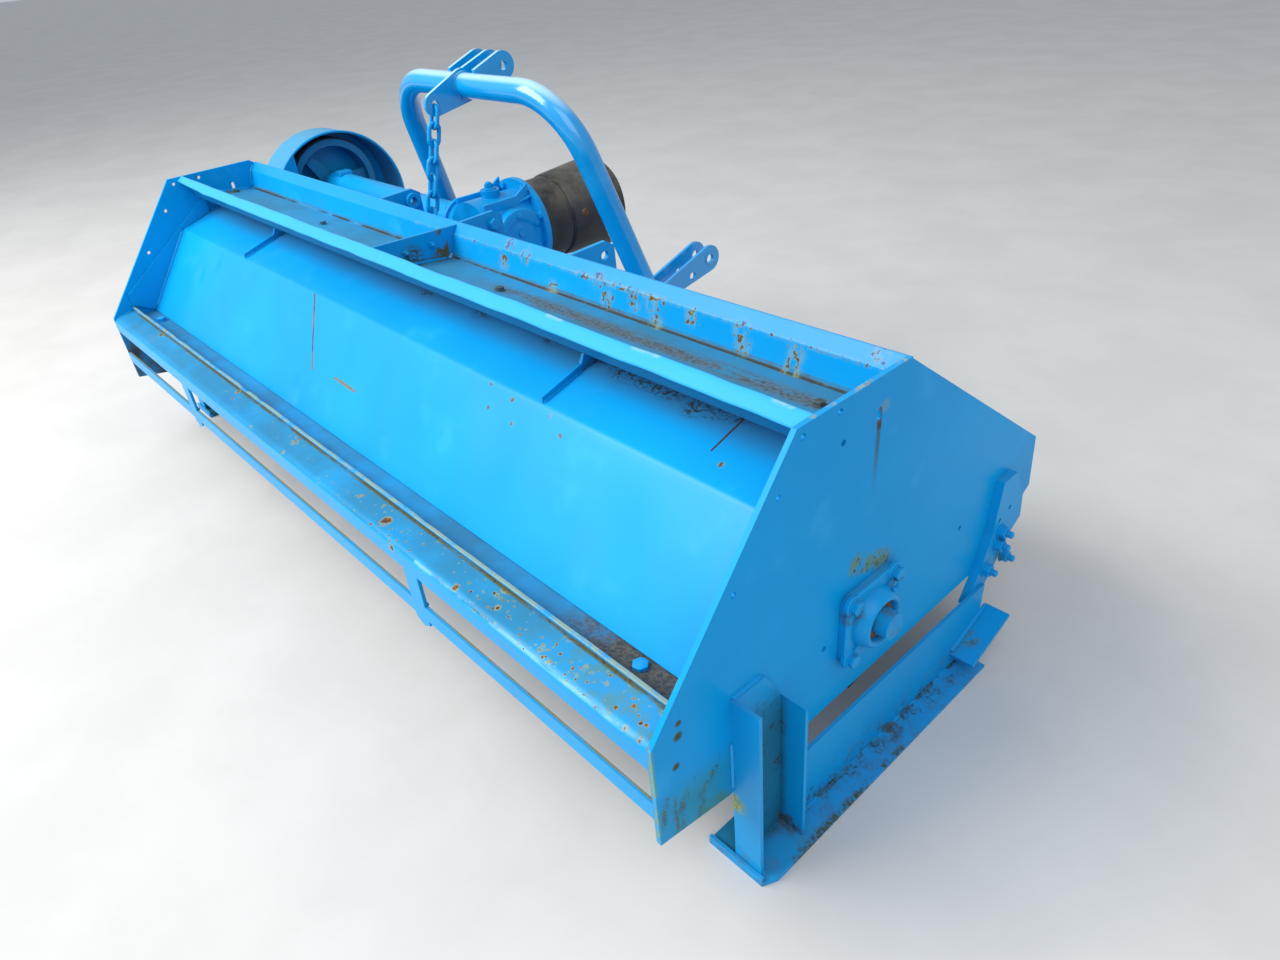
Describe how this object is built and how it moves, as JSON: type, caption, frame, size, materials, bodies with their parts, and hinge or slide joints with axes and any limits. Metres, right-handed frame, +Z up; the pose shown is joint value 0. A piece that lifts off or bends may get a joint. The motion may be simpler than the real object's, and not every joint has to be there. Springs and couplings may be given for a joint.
{
  "type": "tractor mulcher",
  "caption": "Three-point flail mulcher with a folded sheet hood on two skids, arched hitch, offset gearbox and a side belt drive.",
  "frame": {"origin": "on the ground below the middle of the bounding box", "axes": "+X to the right as seen from behind, +Y forward to the tractor, +Z up"},
  "size_m": [3.05, 1.474, 1.213],
  "materials": {
    "hood_paint": "weathered satin",
    "hitch_paint": "weathered satin",
    "guard_paint": "weathered satin",
    "drive_paint": "weathered satin",
    "skid_paint": "weathered satin, worn at the sole",
    "gearbox_casting": "painted casting",
    "bearing_casting": "painted casting",
    "chain_steel": "painted, worn",
    "shaft_steel": "greased",
    "rotor_steel": "worn",
    "hammer_steel": "rusty",
    "pulley_iron": "bare",
    "belt_rubber": "matt",
    "shield_rubber": "dusty",
    "curtain_rubber": "matt"
  },
  "bodies": {
    "frame": {"bearing_left": "bearing_casting", "bearing_right": "bearing_casting", "belt_guard": "guard_paint", "chain_anchor": "hitch_paint", "cross_tube": "drive_paint", "curtain_bar": "hood_paint", "doubler_left": "hood_paint", "doubler_right": "hood_paint", "drive_belt": "belt_rubber", "end_plate_left": "hood_paint", "end_plate_right": "hood_paint", "front_beam": "hood_paint", "front_curtain": "curtain_rubber", "front_lugs": "hood_paint", "gearbox": "gearbox_casting", "gearbox_cradle": "hood_paint", "hood_skin": "hood_paint", "input_shield": "shield_rubber", "lip_ribs": "hood_paint", "lower_clevis_left": "hitch_paint", "lower_clevis_right": "hitch_paint", "mast_plate": "hitch_paint", "mast_tube_left": "hitch_paint", "mast_tube_right": "hitch_paint", "rear_bars": "hood_paint", "rear_beam": "hood_paint", "skid_bracket_left": "skid_paint", "skid_bracket_right": "skid_paint", "skid_post_left": "skid_paint", "skid_post_right": "skid_paint", "skid_runner_left": "skid_paint", "skid_runner_right": "skid_paint", "stay_chain": "chain_steel", "top_link_cheeks": "hitch_paint", "top_tray": "hood_paint", "tray_gusset": "hood_paint", "tube_saddles": "hood_paint"},
    "rotor": {"rotor_drum": "rotor_steel", "rotor_hammers": "hammer_steel", "lower_pulley": "pulley_iron"},
    "cross_drive": {"cross_shaft": "shaft_steel", "upper_pulley": "pulley_iron"},
    "input": {"input_shaft": "shaft_steel"}
  },
  "joints": [
    {"name": "rotor_spin", "type": "hinge", "parent": "frame", "child": "rotor", "pos_m": [0.04, -0.187, 0.375], "axis": [1, 0, 0], "continuous": true},
    {"name": "cross_shaft_spin", "type": "hinge", "parent": "frame", "child": "cross_drive", "pos_m": [-1.45, 0.229, 0.695], "axis": [1, 0, 0], "continuous": true},
    {"name": "input_spin", "type": "hinge", "parent": "frame", "child": "input", "pos_m": [-0.26, 0.363, 0.695], "axis": [0, 1, 0], "continuous": true}
  ],
  "couplings": [
    {"joint": "cross_shaft_spin", "follows": "rotor_spin", "ratio": 0.72254},
    {"joint": "input_spin", "follows": "rotor_spin", "ratio": 0.28902}
  ]
}
